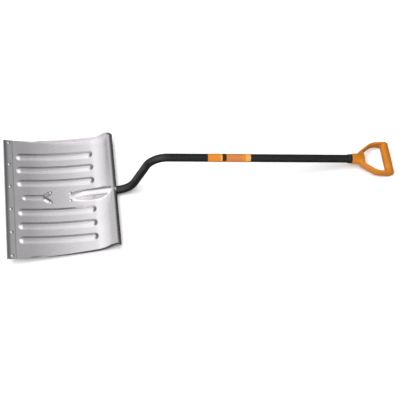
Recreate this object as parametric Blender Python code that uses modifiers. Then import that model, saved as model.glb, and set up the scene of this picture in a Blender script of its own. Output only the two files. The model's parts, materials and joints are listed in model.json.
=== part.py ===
"""Snow shovel: a ribbed aluminium scoop, an S-bent steel shaft and a plastic D-grip.

Every piece is drawn in the blade's own axes: X from the front edge towards the grip, Y across,
Z up out of the scoop. One empty then leans the whole shovel so that it lies on its back on Z = 0,
touching the floor with its backing plate and its grip.
"""

import math

import bmesh
import bpy
from mathutils import Matrix, Vector

MM = 0.001
CLEARANCE = 0.3 * MM

# The sheet: one pressed piece, described by lengths along its middle line from the front edge.
SHEET = 1.5 * MM
FRONT_WIDTH = 457 * MM
REAR_WIDTH = 428 * MM
SHEET_START = 2.5 * MM
LEAD_SLOPE = math.radians(-10)
LEAD_STRAIGHT = 9 * MM
LEAD_BEND = 6 * MM
FLAT_END = 80 * MM
LONG_RADIUS = 820 * MM
LONG_ANGLE = math.radians(15.2)
TIGHT_RADIUS = 86 * MM
TIGHT_ANGLE = math.radians(44)
LIP_RADIUS = 12 * MM
LIP_ANGLE = math.radians(109)

# The stiffening ribs stand up into the scoop.
RIB_CENTRES = (56 * MM, 108 * MM, 160 * MM)
RIB_FOOT = 14 * MM
RIB_TOP = 7 * MM
RIB_HEIGHT = 5.5 * MM
RIB_START = 42 * MM
RIB_END = 303 * MM
RIB_RAMP = 8 * MM
CENTRE_RIB_START = 58 * MM
CENTRE_RIB_END = 125 * MM
CENTRE_RIB_HEIGHT = 4.5 * MM

# The side edges turn up, a little at the front and most at the back.
FLANGE_START = 36 * MM
FLANGE_FLAT = 3 * MM
FLANGE_HEIGHT = 20 * MM
FLANGE_ANGLE = math.radians(82)

# The wear strip is folded over the front edge.
STRIP = 1.2 * MM
STRIP_TOP_LEG = 31 * MM
STRIP_BOTTOM_LEG = 26 * MM
STRIP_RIVET_AT = 19 * MM
STRIP_RIVET_ROW = (-217.5 * MM, -130.5 * MM, -43.5 * MM, 43.5 * MM, 130.5 * MM, 217.5 * MM)

# The shaft: its axis starts under the sheet and leaves over the back edge.
TUBE_RADIUS = 13.5 * MM
TUBE_WALL = 1.2 * MM
AXIS_START = (222 * MM, 20.5 * MM)
AXIS_SLOPE = math.radians(15.5)
STEM_LENGTH = 157 * MM
BEND_RADIUS = 65 * MM
RISER_SLOPE = math.radians(78.5)
RISER_LENGTH = 109 * MM
HANDLE_SLOPE = math.radians(1.5)
HANDLE_LENGTH = 629 * MM
TUBE_IN_GRIP = 35 * MM
ROUND_FROM = 60 * MM

# The shaft's front end is pressed flat under the sheet.
TONGUE_HALF_WIDTH = 19.5 * MM
TONGUE_HALF_HEIGHT = 1.4 * MM
TONGUE_START = 206 * MM
TONGUE_END = 246 * MM

# The tunnel that the sheet makes over the shaft.
TUNNEL_AROUND_TUBE = 0.75 * MM
TUNNEL_RADIUS = TUBE_RADIUS + SHEET / 2 + TUNNEL_AROUND_TUBE
TUNNEL_FOOT = 21 * MM
NOSE_START = 226 * MM
NOSE_LENGTH = 36 * MM

# The backing plate under the sheet and its rivets.
PLATE = 1.6 * MM
PLATE_HALF_WIDTH = 30 * MM
PLATE_START = 138 * MM
PLATE_END = 240 * MM
PLATE_CORNER = 9 * MM
PLATE_STEP_START = 184 * MM
PLATE_STEP_END = 198 * MM
FRONT_RIVET_AT = (153 * MM, 19 * MM)
REAR_RIVET_AT = (219 * MM, 14 * MM)

RIVET_SHANK = 2.4 * MM
RIVET_HOLE = 2.75 * MM
RIVET_HEAD = 5.2 * MM
RIVET_HEAD_HEIGHT = 2.2 * MM
RIVET_TAIL = 4.2 * MM
RIVET_TAIL_HEIGHT = 1.4 * MM

# The printed wrap and the collar, by their distance in front of the grip's mouth.
WRAP_START = -499 * MM
WRAP_END = -354 * MM
WRAP_THICKNESS = 0.3 * MM
WRAP_GAP = 0.25 * MM
COLLAR_LENGTH = 12 * MM
COLLAR_RADIUS = 15.6 * MM
COLLAR_CHAMFER = (0.8 * MM, 1.2 * MM)

# The D-grip, measured from its mouth.
GRIP_LENGTH = 142 * MM
GRIP_HALF_WIDTH = 61.5 * MM
CROSSBAR_RADIUS = 15 * MM
SHOULDER = 80 * MM
ARM_DEPTH = 14.5 * MM
ARM_THICKNESS = 10 * MM
ARM_ROUNDING = 4 * MM
# Corners of the grip's outline and hand opening: distance, half width and rounding radius.
NECK_CORNERS = ((6 * MM, 16.2 * MM, 2 * MM), (24 * MM, 18.5 * MM, 20 * MM))
OPENING_CORNER = (43 * MM, 18 * MM, 6 * MM)
SHOULDER_ROUND = 24 * MM
BAR_CORNER_ROUND = 12 * MM
INNER_SHOULDER_ROUND = 16 * MM
INNER_CORNER_ROUND = 5 * MM
SHOULDER_THICKENING = 1 * MM
SOCKET_RADIUS = 17.3 * MM
SOCKET_LENGTH = 38 * MM
BORE_RADIUS = 13.9 * MM
BORE_DEPTH = 36 * MM
SCREW_AT = 19 * MM
SCREW_SHANK = 2.1 * MM
SCREW_HOLE = 2.5 * MM
SCREW_HOLE_DEPTH = 14 * MM
SCREW_HEAD = 4.2 * MM
SCREW_HEAD_HEIGHT = 1.8 * MM

TUBE_SIDES = 20
RIVET_SIDES = 12
GRIP_SIDES = 24


def walk(start, slope, moves, distance):
    """The point and slope reached after a distance along straights and arcs, each (length, turn)."""
    x, z = start
    for length, turn in moves:
        step = min(distance, length)
        turned = turn * step / length
        chord = step
        if abs(turned) > 1e-9:
            chord = 2 * step / turned * math.sin(turned / 2)
        x += chord * math.cos(slope + turned / 2)
        z += chord * math.sin(slope + turned / 2)
        slope += turned
        distance -= step
        if distance <= 0:
            break
    return x, z, slope


LEAD_MOVES = ((LEAD_STRAIGHT, 0), (LEAD_BEND, -LEAD_SLOPE))
LEAD_LENGTH = LEAD_STRAIGHT + LEAD_BEND
LEAD_DROP = walk((0, 0), LEAD_SLOPE, LEAD_MOVES, LEAD_LENGTH)[1]
LONG_END = FLAT_END + LONG_RADIUS * LONG_ANGLE
TIGHT_END = LONG_END + TIGHT_RADIUS * TIGHT_ANGLE
SHEET_END = TIGHT_END + LIP_RADIUS * LIP_ANGLE
SHEET_MOVES = LEAD_MOVES + (
    (FLAT_END - LEAD_LENGTH, 0),
    (LONG_END - FLAT_END, LONG_ANGLE),
    (TIGHT_END - LONG_END, TIGHT_ANGLE),
    (SHEET_END - TIGHT_END, -LIP_ANGLE),
)
FIRST_TURN = RISER_SLOPE - AXIS_SLOPE
SECOND_TURN = HANDLE_SLOPE - RISER_SLOPE
SHAFT_MOVES = (
    (STEM_LENGTH, 0),
    (BEND_RADIUS * FIRST_TURN, FIRST_TURN),
    (RISER_LENGTH, 0),
    (BEND_RADIUS * -SECOND_TURN, SECOND_TURN),
    (HANDLE_LENGTH + TUBE_IN_GRIP, 0),
)
SHAFT_LENGTH = sum(length for length, turn in SHAFT_MOVES)
GRIP_MOUTH = SHAFT_LENGTH - TUBE_IN_GRIP


def on_sheet(distance):
    """The sheet's middle line: X, Z and slope."""
    return walk((0, -LEAD_DROP), LEAD_SLOPE, SHEET_MOVES, distance)


def on_shaft(distance):
    """The shaft's axis: X, Z and slope."""
    return walk(AXIS_START, AXIS_SLOPE, SHAFT_MOVES, distance)


def above_sheet(distance, across, lift):
    x, z, slope = on_sheet(distance)
    return Vector((x - lift * math.sin(slope), across, z + lift * math.cos(slope)))


def half_width(distance):
    x = on_sheet(distance)[0]
    back = on_sheet(SHEET_END)[0]
    return (FRONT_WIDTH + (REAR_WIDTH - FRONT_WIDTH) * x / back) / 2


def smooth(value):
    value = min(max(value, 0), 1)
    return value * value * (3 - 2 * value)


# --- helpers -----------------------------------------------------------------------------------


def clear_scene():
    for item in list(bpy.data.objects):
        bpy.data.objects.remove(item)


def new_collection(name):
    collection = bpy.data.collections.new(name)
    bpy.context.scene.collection.children.link(collection)
    return collection


def material(name, colour, roughness, metallic):
    made = bpy.data.materials.new(name)
    made.use_nodes = True
    shader = made.node_tree.nodes["Principled BSDF"]
    shader.inputs["Base Color"].default_value = (*colour, 1)
    shader.inputs["Roughness"].default_value = roughness
    shader.inputs["Metallic"].default_value = metallic
    return made


def add_object(name, mesh, finish=None):
    made = bpy.data.objects.new(name, mesh)
    PARTS.objects.link(made)
    made.parent = REST_POSE
    if finish:
        mesh.materials.clear()
        mesh.materials.append(finish)
    return made


def mesh_of(bm, name):
    bmesh.ops.recalc_face_normals(bm, faces=bm.faces)
    mesh = bpy.data.meshes.new(name)
    bm.to_mesh(mesh)
    bm.free()
    mesh.shade_smooth()
    mesh.set_sharp_from_angle(angle=math.radians(35))
    return mesh


def place(made, x, y, z, slope=0.0):
    made.location = (x, y, z)
    made.rotation_euler = (0, -slope, 0)


def grid_sheet(rows, columns, point):
    """An open grid whose corners are moved to point(row value, column value)."""
    bm = bmesh.new()
    bmesh.ops.create_grid(bm, x_segments=len(rows) - 1, y_segments=len(columns) - 1, size=1)
    for vertex in bm.verts:
        row = round((vertex.co.x + 1) / 2 * (len(rows) - 1))
        column = round((vertex.co.y + 1) / 2 * (len(columns) - 1))
        vertex.co = point(rows[row], columns[column])
    return bm


def thicken(made, thickness):
    solidify = made.modifiers.new("thickness", "SOLIDIFY")
    solidify.thickness = thickness
    solidify.offset = 0
    solidify.use_even_offset = True


def loft(rings, name):
    """A tube with a wall: each ring is its outer points followed by its inner points."""
    bm = bmesh.new()
    sides = len(rings[0]) // 2
    made = [[bm.verts.new(point) for point in ring] for ring in rings]
    for here, there in zip(made, made[1:]):
        for start in (0, sides):
            for side in range(sides):
                after = (side + 1) % sides
                near = (here[start + side], here[start + after])
                far = (there[start + after], there[start + side])
                bm.faces.new(near + far)
    for ring in (made[0], made[-1]):
        for side in range(sides):
            after = (side + 1) % sides
            bm.faces.new((ring[side], ring[after], ring[sides + after], ring[sides + side]))
    return mesh_of(bm, name)


def baked_bmesh(made):
    """The evaluated shape of an object, welded, as a bmesh; the object is removed."""
    mesh = bpy.data.meshes.new_from_object(made.evaluated_get(bpy.context.evaluated_depsgraph_get()))
    bpy.data.objects.remove(made)
    bm = bmesh.new()
    bm.from_mesh(mesh)
    bpy.data.meshes.remove(mesh)
    bmesh.ops.remove_doubles(bm, verts=bm.verts, dist=0.01 * MM)
    return bm


def turned(name, profile, sides):
    """A solid turned about Z from a profile that runs down its outer side."""
    bm = bmesh.new()
    points = [bm.verts.new((x, 0, z)) for x, z in profile]
    for here, there in zip(points, points[1:]):
        bm.edges.new((here, there))
    mesh = bpy.data.meshes.new(name)
    bm.to_mesh(mesh)
    bm.free()
    made = bpy.data.objects.new(name, mesh)
    PARTS.objects.link(made)
    screw = made.modifiers.new("turn", "SCREW")
    screw.steps = sides
    screw.render_steps = sides
    screw.use_merge_vertices = True
    screw.merge_threshold = 0.00001
    return mesh_of(baked_bmesh(made), name)


def cutter(name, cylinders):
    """One hidden object of cylinders, each (radius, length, matrix), for a Boolean."""
    bm = bmesh.new()
    for radius, length, matrix in cylinders:
        size = {"radius1": radius, "radius2": radius, "depth": length}
        bmesh.ops.create_cone(bm, cap_ends=True, segments=RIVET_SIDES, matrix=matrix, **size)
    mesh = bpy.data.meshes.new(name)
    bm.to_mesh(mesh)
    bm.free()
    made = bpy.data.objects.new(name, mesh)
    CUTTERS.objects.link(made)
    made.parent = REST_POSE
    made.hide_render = True
    made.display_type = "WIRE"
    return made


def boolean(made, other, operation, solver="EXACT"):
    modifier = made.modifiers.new(other.name, "BOOLEAN")
    modifier.operation = operation
    modifier.solver = solver
    modifier.object = other


def through_sheet(distance, across):
    """A frame on the sheet's middle, with Z along its normal."""
    x, z, slope = on_sheet(distance)
    return Matrix.Translation((x, across, z)) @ Matrix.Rotation(-slope, 4, "Y")


# --- blade -------------------------------------------------------------------------------------


def rib_lift(distance, across):
    """How far the ribs lift the sheet at a point."""
    lift = 0.0
    long_rib = smooth((distance - RIB_START) / RIB_RAMP) * smooth((RIB_END - distance) / RIB_RAMP)
    for centre in RIB_CENTRES:
        side = (RIB_FOOT - abs(abs(across) - centre)) / (RIB_FOOT - RIB_TOP)
        lift = max(lift, RIB_HEIGHT * long_rib * smooth(side))
    short_rib = smooth((distance - CENTRE_RIB_START) / RIB_RAMP)
    short_rib *= smooth((CENTRE_RIB_END - distance) / RIB_RAMP)
    side = 1.0 if abs(across) < RIB_TOP else 0.0
    return max(lift, CENTRE_RIB_HEIGHT * short_rib * side)


def tunnel_lift(distance, across):
    """How far the tunnel lifts the sheet square to the shaft's axis, to arch over the tube."""
    x, z, slope = on_sheet(distance)
    beyond = Vector((x - AXIS_START[0], z - AXIS_START[1]))
    height = beyond.dot(Vector((-math.sin(AXIS_SLOPE), math.cos(AXIS_SLOPE))))
    across = abs(across)
    if across >= TUNNEL_FOOT:
        return 0.0
    if across <= TUNNEL_RADIUS:
        lift = math.sqrt(max(TUNNEL_RADIUS**2 - across**2, 0)) - height
    else:
        lift = -height * (TUNNEL_FOOT - across) / (TUNNEL_FOOT - TUNNEL_RADIUS)
    before = min(max((NOSE_START + NOSE_LENGTH - distance) / NOSE_LENGTH, 0), 1)
    return max(lift, 0) * math.sqrt(1 - before**2)


def sheet_point(distance, across):
    """A point of the pressed sheet, with its ribs and its tunnel."""
    base = above_sheet(distance, across, rib_lift(distance, across))
    raised = tunnel_lift(distance, across)
    return base + raised * Vector((-math.sin(AXIS_SLOPE), 0, math.cos(AXIS_SLOPE)))


def flange_point(distance, side, tip):
    """The fold line of a side flange, or its tip."""
    rise = smooth((distance - FLANGE_START) / (LONG_END - FLANGE_START))
    fall = smooth((SHEET_END - distance) / (SHEET_END - TIGHT_END))
    angle = FLANGE_ANGLE * smooth(3 * rise)
    reach = FLANGE_FLAT + (FLANGE_HEIGHT - FLANGE_FLAT) * rise * fall
    fold = half_width(distance) - reach * math.cos(angle)
    if tip:
        return above_sheet(distance, side * half_width(distance), reach * math.sin(angle))
    return above_sheet(distance, side * fold, 0)


def blade_columns():
    """Where the grid's lines run across the sheet: metres, or ("edge", side, tip) at the flanges."""
    inner = [TUNNEL_RADIUS * math.sin(math.radians(22.5 * step)) for step in range(5)] + [TUNNEL_FOOT]
    for centre in RIB_CENTRES:
        inner += [centre - RIB_FOOT, centre - RIB_TOP, centre + RIB_TOP, centre + RIB_FOOT]
    left = [("edge", -1, True), ("edge", -1, False)]
    right = [("edge", 1, False), ("edge", 1, True)]
    return left + [-value for value in reversed(inner[1:])] + inner + right


def blade_rows():
    rows = [SHEET_START, LEAD_STRAIGHT, LEAD_STRAIGHT + LEAD_BEND / 2, LEAD_LENGTH]
    rows += [RIB_START, RIB_START + RIB_RAMP, CENTRE_RIB_START, CENTRE_RIB_START + RIB_RAMP]
    rows += [CENTRE_RIB_END - RIB_RAMP, CENTRE_RIB_END]
    rows += [CENTRE_RIB_END + (NOSE_START - CENTRE_RIB_END) * step / 6 for step in range(1, 6)]
    rows += [NOSE_START + NOSE_LENGTH * step for step in (0, 0.08, 0.25, 0.5, 0.75, 1)]
    rows += [RIB_END - 2 * RIB_RAMP, RIB_END - RIB_RAMP, RIB_END, LONG_END]
    rows += [LONG_END + (TIGHT_END - LONG_END) * step / 5 for step in range(1, 6)]
    rows += [TIGHT_END + (SHEET_END - TIGHT_END) * step / 5 for step in range(1, 6)]
    return sorted(rows)


def blade(finish, drill):
    def point(distance, column):
        if isinstance(column, tuple):
            return flange_point(distance, column[1], column[2])
        return sheet_point(distance, column)

    bm = grid_sheet(blade_rows(), blade_columns(), point)
    made = add_object("blade", mesh_of(bm, "blade"), finish)
    thicken(made, SHEET)
    boolean(made, drill, "DIFFERENCE")


# --- wear strip and backing plate --------------------------------------------------------------


def wear_strip(finish, drill):
    lift = SHEET / 2 + CLEARANCE + STRIP / 2
    fold_at = SHEET_START - 0.5 * MM
    path = [(distance, lift) for distance in (STRIP_TOP_LEG, LEAD_LENGTH, LEAD_STRAIGHT, fold_at)]
    for step in range(1, 6):
        angle = math.pi * step / 6
        path.append((fold_at - lift * math.sin(angle), lift * math.cos(angle)))
    path += [(distance, -lift) for distance in (fold_at, LEAD_STRAIGHT, LEAD_LENGTH, STRIP_BOTTOM_LEG)]

    def point(place_on_path, side):
        distance, height = place_on_path
        return above_sheet(distance, side * half_width(distance), height)

    bm = grid_sheet(path, (-1, 1), point)
    made = add_object("wear_strip", mesh_of(bm, "wear_strip"), finish)
    thicken(made, STRIP)
    boolean(made, drill, "DIFFERENCE")


def backing_plate(finish, drill):
    near = SHEET / 2 + CLEARANCE + PLATE / 2
    far = near + 2 * TONGUE_HALF_HEIGHT + CLEARANCE
    rows = [PLATE_START + (PLATE_STEP_START - PLATE_START) * step / 4 for step in range(4)]
    rows += [PLATE_STEP_START, (PLATE_STEP_START + PLATE_STEP_END) / 2]
    rows += [PLATE_STEP_END + (PLATE_END - PLATE_STEP_END) * step / 4 for step in range(5)]

    def point(distance, side):
        stepped = smooth((distance - PLATE_STEP_START) / (PLATE_STEP_END - PLATE_STEP_START))
        return above_sheet(distance, side * PLATE_HALF_WIDTH, -near - (far - near) * stepped)

    bm = grid_sheet(rows, (-1, -0.3, 0.3, 1), point)
    corners = [vertex for vertex in bm.verts if len(vertex.link_edges) == 2]
    bmesh.ops.bevel(bm, geom=corners, offset=PLATE_CORNER, segments=3, profile=0.5, affect="VERTICES")
    made = add_object("backing_plate", mesh_of(bm, "backing_plate"), finish)
    thicken(made, PLATE)
    boolean(made, drill, "DIFFERENCE")


# --- rivets ------------------------------------------------------------------------------------


def rivet_mesh(name, above, below):
    """A domed rivet whose head sits above the sheet's middle and whose tail is upset below it."""
    dome = []
    for step in range(4):
        angle = math.radians(30 * step)
        dome.append((RIVET_HEAD * math.sin(angle), above + RIVET_HEAD_HEIGHT * math.cos(angle)))
    profile = dome + [
        (RIVET_SHANK, above),
        (RIVET_SHANK, -below),
        (RIVET_TAIL, -below),
        (RIVET_TAIL, -below - RIVET_TAIL_HEIGHT),
        (0, -below - RIVET_TAIL_HEIGHT),
    ]
    return turned(name, profile, RIVET_SIDES)


def rivets(name, finish, places, above, below):
    mesh = rivet_mesh(name, above, below)
    for number, (distance, across) in enumerate(places, 1):
        made = add_object(f"{name}_{number}", mesh, finish)
        x, z, slope = on_sheet(distance)
        place(made, x, across, z, slope)


# --- shaft, wrap and collar --------------------------------------------------------------------


def section(wide, high, squareness):
    """A closed outline across the tube, from a circle (2) to a flattened one (more)."""
    points = []
    for side in range(TUBE_SIDES):
        angle = 2 * math.pi * side / TUBE_SIDES
        cosine, sine = math.cos(angle), math.sin(angle)
        across = math.copysign(abs(cosine) ** (2 / squareness), cosine) * wide
        up = math.copysign(abs(sine) ** (2 / squareness), sine) * high
        points.append((across, up))
    return points


def ring(x, z, slope, wide, high, squareness, wall):
    outer = section(wide, high, squareness)
    inner = section(wide - wall, high - wall, squareness)
    points = []
    for across, up in outer + inner:
        points.append((x - up * math.sin(slope), across, z + up * math.cos(slope)))
    return points


def round_ring(distance, radius, wall):
    x, z, slope = on_shaft(distance)
    return ring(x, z, slope, radius, radius, 2, wall)


def shaft_distances():
    """Where the tube's rings stand: close together in the bends, only at the ends of the straights."""
    distances = [ROUND_FROM]
    start = 0.0
    for length, turn in SHAFT_MOVES:
        pieces = 9 if turn else 1
        distances += [start + length * step / pieces for step in range(1, pieces + 1)]
        start += length
    return distances


def shaft(finish, drills):
    under = SHEET / 2 + CLEARANCE + TONGUE_HALF_HEIGHT
    rings = []
    for distance in [TONGUE_START + (TONGUE_END - TONGUE_START) * step / 3 for step in range(4)]:
        x, z, slope = on_sheet(distance)
        x += under * math.sin(slope)
        z -= under * math.cos(slope)
        rings.append(ring(x, z, slope, TONGUE_HALF_WIDTH, TONGUE_HALF_HEIGHT, 6, TUBE_WALL))
    flat_x, flat_z, flat_slope = x, z, slope
    round_x, round_z, round_slope = on_shaft(ROUND_FROM)
    for step in range(1, 6):
        along = step / 6
        swell = smooth(along)
        high = TONGUE_HALF_HEIGHT + (TUBE_RADIUS - TONGUE_HALF_HEIGHT) * swell
        wide = TONGUE_HALF_WIDTH + (TUBE_RADIUS - TONGUE_HALF_WIDTH) * smooth(1.5 * along)
        slope = flat_slope + (round_slope - flat_slope) * along
        x = flat_x + (round_x - flat_x) * along
        straight = flat_z + (round_z - TUBE_RADIUS - flat_z + TONGUE_HALF_HEIGHT) * along
        z = straight + high - TONGUE_HALF_HEIGHT
        rings.append(ring(x, z, slope, wide, high, 6 - 4 * smooth(2 * along), TUBE_WALL))
    rings += [round_ring(distance, TUBE_RADIUS, TUBE_WALL) for distance in shaft_distances()]
    made = add_object("shaft", loft(rings, "shaft"), finish)
    for drill in drills:
        boolean(made, drill, "DIFFERENCE")


def label_wrap(finish):
    radius = TUBE_RADIUS + WRAP_GAP + WRAP_THICKNESS
    ends = (GRIP_MOUTH + WRAP_START, GRIP_MOUTH + WRAP_END)
    rings = [round_ring(distance, radius, WRAP_THICKNESS) for distance in ends]
    add_object("label_wrap", loft(rings, "label_wrap"), finish)


def grip_collar(finish):
    inner = TUBE_RADIUS + CLEARANCE
    profile = [
        (inner, 0),
        (COLLAR_RADIUS - COLLAR_CHAMFER[0], 0),
        (COLLAR_RADIUS, -COLLAR_CHAMFER[1]),
        (COLLAR_RADIUS, -COLLAR_LENGTH + CLEARANCE),
        (inner, -COLLAR_LENGTH + CLEARANCE),
        (inner, 0),
    ]
    made = add_object("grip_collar", turned("grip_collar", profile, TUBE_SIDES), finish)
    x, z, slope = on_shaft(GRIP_MOUTH - COLLAR_LENGTH)
    made.location = (x, 0, z)
    made.rotation_euler = (0, -math.pi / 2 - slope, 0)


# --- grip --------------------------------------------------------------------------------------


def rounded(corners, steps):
    """A closed outline with each corner, given as (x, y, radius), replaced by an arc."""
    outline = []
    for index, (x, y, radius) in enumerate(corners):
        here = Vector((x, y))
        before = Vector(corners[index - 1][:2]) - here
        after = Vector(corners[(index + 1) % len(corners)][:2]) - here
        half = before.angle(after) / 2
        start = here + before.normalized() * radius / math.tan(half)
        end = here + after.normalized() * radius / math.tan(half)
        centre = here + (before.normalized() + after.normalized()).normalized() * radius / math.sin(half)
        first = start - centre
        sweep = first.angle_signed(end - centre)
        for step in range(steps + 1):
            spoke = first.copy()
            spoke.rotate(Matrix.Rotation(-sweep * step / steps, 2))
            outline.append(centre + spoke)
    return outline


def mirrored(half):
    return half + [(x, -y, radius) for x, y, radius in reversed(half)]


def d_frame():
    """The grip's flat loop: an outline with a hand opening, with rounded edges."""
    outer = mirrored([
        *NECK_CORNERS,
        (SHOULDER, GRIP_HALF_WIDTH, SHOULDER_ROUND),
        (GRIP_LENGTH - ARM_ROUNDING, GRIP_HALF_WIDTH, BAR_CORNER_ROUND),
    ])
    inside = GRIP_HALF_WIDTH - ARM_THICKNESS
    inner = mirrored([
        OPENING_CORNER,
        (SHOULDER, inside - SHOULDER_THICKENING, INNER_SHOULDER_ROUND),
        (GRIP_LENGTH - 2 * CROSSBAR_RADIUS, inside, INNER_CORNER_ROUND),
    ])
    curve = bpy.data.curves.new("grip_loop", "CURVE")
    curve.dimensions = "2D"
    curve.fill_mode = "BOTH"
    curve.extrude = ARM_DEPTH - ARM_ROUNDING
    curve.bevel_depth = ARM_ROUNDING
    curve.bevel_resolution = 1
    curve.offset = -ARM_ROUNDING
    for corners in (outer, inner):
        outline = rounded(corners, 3)
        spline = curve.splines.new("POLY")
        spline.points.add(len(outline) - 1)
        for point, corner in zip(spline.points, outline):
            point.co = (corner.x, corner.y, 0, 1)
        spline.use_cyclic_u = True
    made = bpy.data.objects.new("grip_loop", curve)
    PARTS.objects.link(made)
    return mesh_of(baked_bmesh(made), "grip")


def grip(finish, mouth, drill):
    made = add_object("grip", d_frame(), finish)
    made.matrix_basis = mouth
    bar = Matrix.Translation((GRIP_LENGTH - CROSSBAR_RADIUS, 0, 0)) @ Matrix.Rotation(math.pi / 2, 4, "X")
    socket = Matrix.Translation((SOCKET_LENGTH / 2, 0, 0)) @ Matrix.Rotation(math.pi / 2, 4, "Y")
    bore = Matrix.Translation((BORE_DEPTH / 2, 0, 0)) @ Matrix.Rotation(math.pi / 2, 4, "Y")
    shapes = (
        ("grip_crossbar_shape", CROSSBAR_RADIUS, 2 * (GRIP_HALF_WIDTH - ARM_THICKNESS), bar, "UNION"),
        ("grip_socket_shape", SOCKET_RADIUS, SOCKET_LENGTH, socket, "UNION"),
        ("grip_bore_shape", BORE_RADIUS, BORE_DEPTH, bore, "DIFFERENCE"),
    )
    for name, radius, length, matrix, operation in shapes:
        bm = bmesh.new()
        depth = length + (2 * MM if operation == "DIFFERENCE" else 0)
        back = Matrix.Translation((-1 * MM if operation == "DIFFERENCE" else 0, 0, 0))
        size = {"radius1": radius, "radius2": radius, "depth": depth}
        bmesh.ops.create_cone(bm, cap_ends=True, segments=GRIP_SIDES, matrix=back @ matrix, **size)
        shape = bpy.data.objects.new(name, mesh_of(bm, name))
        CUTTERS.objects.link(shape)
        shape.parent = REST_POSE
        shape.matrix_basis = mouth
        shape.hide_render = True
        shape.display_type = "WIRE"
        boolean(made, shape, operation, "MANIFOLD")
    boolean(made, drill, "DIFFERENCE", "MANIFOLD")


def grip_screw(finish, mouth):
    """A screw up through the underside of the grip's socket and the tube's wall."""
    base = -SOCKET_RADIUS - CLEARANCE
    profile = [
        (0, base + 8 * MM),
        (SCREW_SHANK * 0.4, base + 8 * MM),
        (SCREW_SHANK, base + 6 * MM),
        (SCREW_SHANK, base),
        (SCREW_HEAD, base),
        (SCREW_HEAD, base - SCREW_HEAD_HEIGHT * 0.6),
        (SCREW_HEAD * 0.7, base - SCREW_HEAD_HEIGHT),
        (0, base - SCREW_HEAD_HEIGHT),
    ]
    made = add_object("grip_screw", turned("grip_screw", profile, RIVET_SIDES), finish)
    made.matrix_basis = mouth @ Matrix.Translation((SCREW_AT, 0, 0))


# --- assembly ----------------------------------------------------------------------------------


def lean_angle():
    """The lean that brings the backing plate's back edge and the grip's crossbar to one level."""
    depth = SHEET / 2 + 2 * CLEARANCE + 2 * TONGUE_HALF_HEIGHT + PLATE
    plate = above_sheet(PLATE_END, 0, -depth)
    x, z, slope = on_shaft(GRIP_MOUTH)
    reach = GRIP_LENGTH - CROSSBAR_RADIUS
    run = x + reach * math.cos(slope) - plate.x
    rise = z + reach * math.sin(slope) - plate.z
    return math.atan2(rise, run) - math.asin(CROSSBAR_RADIUS / math.hypot(run, rise))


def stand_on_floor():
    """Moves the parent so that the shovel's box stands on Z = 0, centred on X = 0."""
    bpy.context.view_layer.update()
    graph = bpy.context.evaluated_depsgraph_get()
    points = []
    for made in PARTS.objects:
        shown = made.evaluated_get(graph)
        points += [shown.matrix_world @ vertex.co for vertex in shown.to_mesh().vertices]
    xs = [point.x for point in points]
    REST_POSE.location = (-(min(xs) + max(xs)) / 2, 0, -min(point.z for point in points))


def build():
    aluminium = material("blade_aluminium", (0.80, 0.81, 0.82), 0.34, 1.0)
    steel = material("wear_strip_steel", (0.56, 0.58, 0.59), 0.38, 1.0)
    plate_steel = material("backing_plate_steel", (0.50, 0.51, 0.52), 0.45, 1.0)
    rivet_metal = material("rivet_metal", (0.83, 0.83, 0.84), 0.28, 1.0)
    black = material("shaft_black", (0.02, 0.02, 0.022), 0.38, 0.0)
    orange_film = material("wrap_orange", (0.80, 0.33, 0.03), 0.40, 0.0)
    black_plastic = material("collar_black", (0.015, 0.015, 0.016), 0.5, 0.0)
    orange = material("grip_orange", (0.82, 0.34, 0.02), 0.42, 0.0)
    screw_metal = material("screw_metal", (0.35, 0.35, 0.36), 0.4, 1.0)

    deep = 40 * MM
    strip_holes = [(RIVET_HOLE, deep, through_sheet(STRIP_RIVET_AT, across)) for across in STRIP_RIVET_ROW]
    front_pair = [(FRONT_RIVET_AT[0], side * FRONT_RIVET_AT[1]) for side in (-1, 1)]
    rear_pair = [(REAR_RIVET_AT[0], side * REAR_RIVET_AT[1]) for side in (-1, 1)]
    front_holes = [(RIVET_HOLE, deep, through_sheet(*spot)) for spot in front_pair]
    rear_holes = [(RIVET_HOLE, deep, through_sheet(*spot)) for spot in rear_pair]
    x, z, slope = on_shaft(GRIP_MOUTH)
    mouth = Matrix.Translation((x, 0, z)) @ Matrix.Rotation(-slope, 4, "Y")
    screw_hole = mouth @ Matrix.Translation((SCREW_AT, 0, -SOCKET_RADIUS + 2 * MM))

    blade(aluminium, cutter("blade_holes", strip_holes + front_holes + rear_holes))
    wear_strip(steel, cutter("strip_holes", strip_holes))
    backing_plate(plate_steel, cutter("plate_holes", front_holes + rear_holes))
    strip_grip = SHEET / 2 + 2 * CLEARANCE + STRIP
    strip_places = [(STRIP_RIVET_AT, across) for across in STRIP_RIVET_ROW]
    rivets("wear_strip_rivet", rivet_metal, strip_places, strip_grip, strip_grip)
    above = SHEET / 2 + CLEARANCE
    below = SHEET / 2 + 2 * CLEARANCE + PLATE
    rivets("front_socket_rivet", rivet_metal, front_pair, above, below)
    below += 2 * TONGUE_HALF_HEIGHT + CLEARANCE
    rivets("rear_socket_rivet", rivet_metal, rear_pair, above, below)
    screw_drill = [(SCREW_HOLE, SCREW_HOLE_DEPTH, screw_hole)]
    drills = (cutter("tongue_holes", rear_holes), cutter("tube_screw_hole", screw_drill))
    shaft(black, drills)
    label_wrap(orange_film)
    grip_collar(black_plastic)
    grip(orange, mouth, cutter("grip_screw_hole", screw_drill))
    grip_screw(screw_metal, mouth)
    REST_POSE.rotation_euler = (0, lean_angle(), 0)
    stand_on_floor()


clear_scene()
PARTS = new_collection("snow_shovel")
CUTTERS = new_collection("cutters")
REST_POSE = bpy.data.objects.new("rest_pose", None)
bpy.context.scene.collection.objects.link(REST_POSE)
build()
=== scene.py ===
import json
import math

import bmesh
import bpy
from mathutils import Euler, Matrix, Vector, noise


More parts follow.
